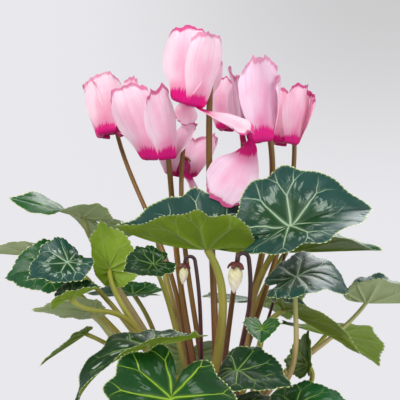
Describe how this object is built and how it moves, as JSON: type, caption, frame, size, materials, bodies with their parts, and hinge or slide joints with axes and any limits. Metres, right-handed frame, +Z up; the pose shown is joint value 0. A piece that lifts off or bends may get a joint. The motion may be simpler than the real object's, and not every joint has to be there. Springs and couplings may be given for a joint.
{
  "type": "potted cyclamen plant",
  "caption": "Florist's cyclamen in a plain round nursery pot: upswept two-tone petals on hooked stalks over heart-shaped, silver-marked leaves with toothed edges.",
  "frame": {"origin": "centre of the pot's flat underside", "axes": "+Z up, the pot's axis; -Y towards the side of the plant that faces the room; +X to the right of someone who looks at that side"},
  "size_m": [0.2863, 0.283, 0.3495],
  "materials": {
    "pot": "satin moulded nursery-pot plastic",
    "soil": "crumbly moist peat compost",
    "tuber": "corky brown skin",
    "leaf": "waxy upper side with silver marks, pale under side",
    "petal": "soft translucent petal, magenta at mouth and fringe",
    "stalk": "fleshy, slightly glossy stem",
    "bud": "furled cream petals",
    "bud_stalk": "fleshy, slightly glossy dark red stem"
  },
  "bodies": {
    "root": {"pot": "pot", "soil": "soil", "tuber": "tuber", "leaf_01": "leaf", "leaf_02": "leaf", "leaf_03": "leaf", "leaf_04": "leaf", "leaf_05": "leaf", "leaf_06": "leaf", "leaf_07": "leaf", "leaf_08": "leaf", "leaf_09": "leaf", "leaf_10": "leaf", "leaf_11": "leaf", "leaf_12": "leaf", "leaf_13": "leaf", "leaf_14": "leaf", "leaf_15": "leaf", "leaf_16": "leaf", "leaf_17": "leaf", "leaf_18": "leaf", "leaf_19": "leaf", "leaf_20": "leaf", "leaf_21": "leaf", "leaf_22": "leaf", "leaf_23": "leaf", "leaf_24": "leaf", "leaf_25": "leaf", "leaf_26": "leaf", "leaf_27": "leaf", "bloom_1": "petal", "bloom_2": "petal", "bloom_3": "petal", "bloom_4": "petal", "bloom_5": "petal", "bloom_6": "petal", "bloom_7": "petal", "stalk_1": "stalk", "stalk_2": "stalk", "stalk_3": "stalk", "stalk_4": "stalk", "stalk_5": "stalk", "stalk_6": "stalk", "stalk_7": "stalk", "bud_1": "bud", "bud_2": "bud", "bud_3": "bud", "bud_stalk_1": "bud_stalk", "bud_stalk_2": "bud_stalk", "bud_stalk_3": "bud_stalk"}
  },
  "joints": []
}
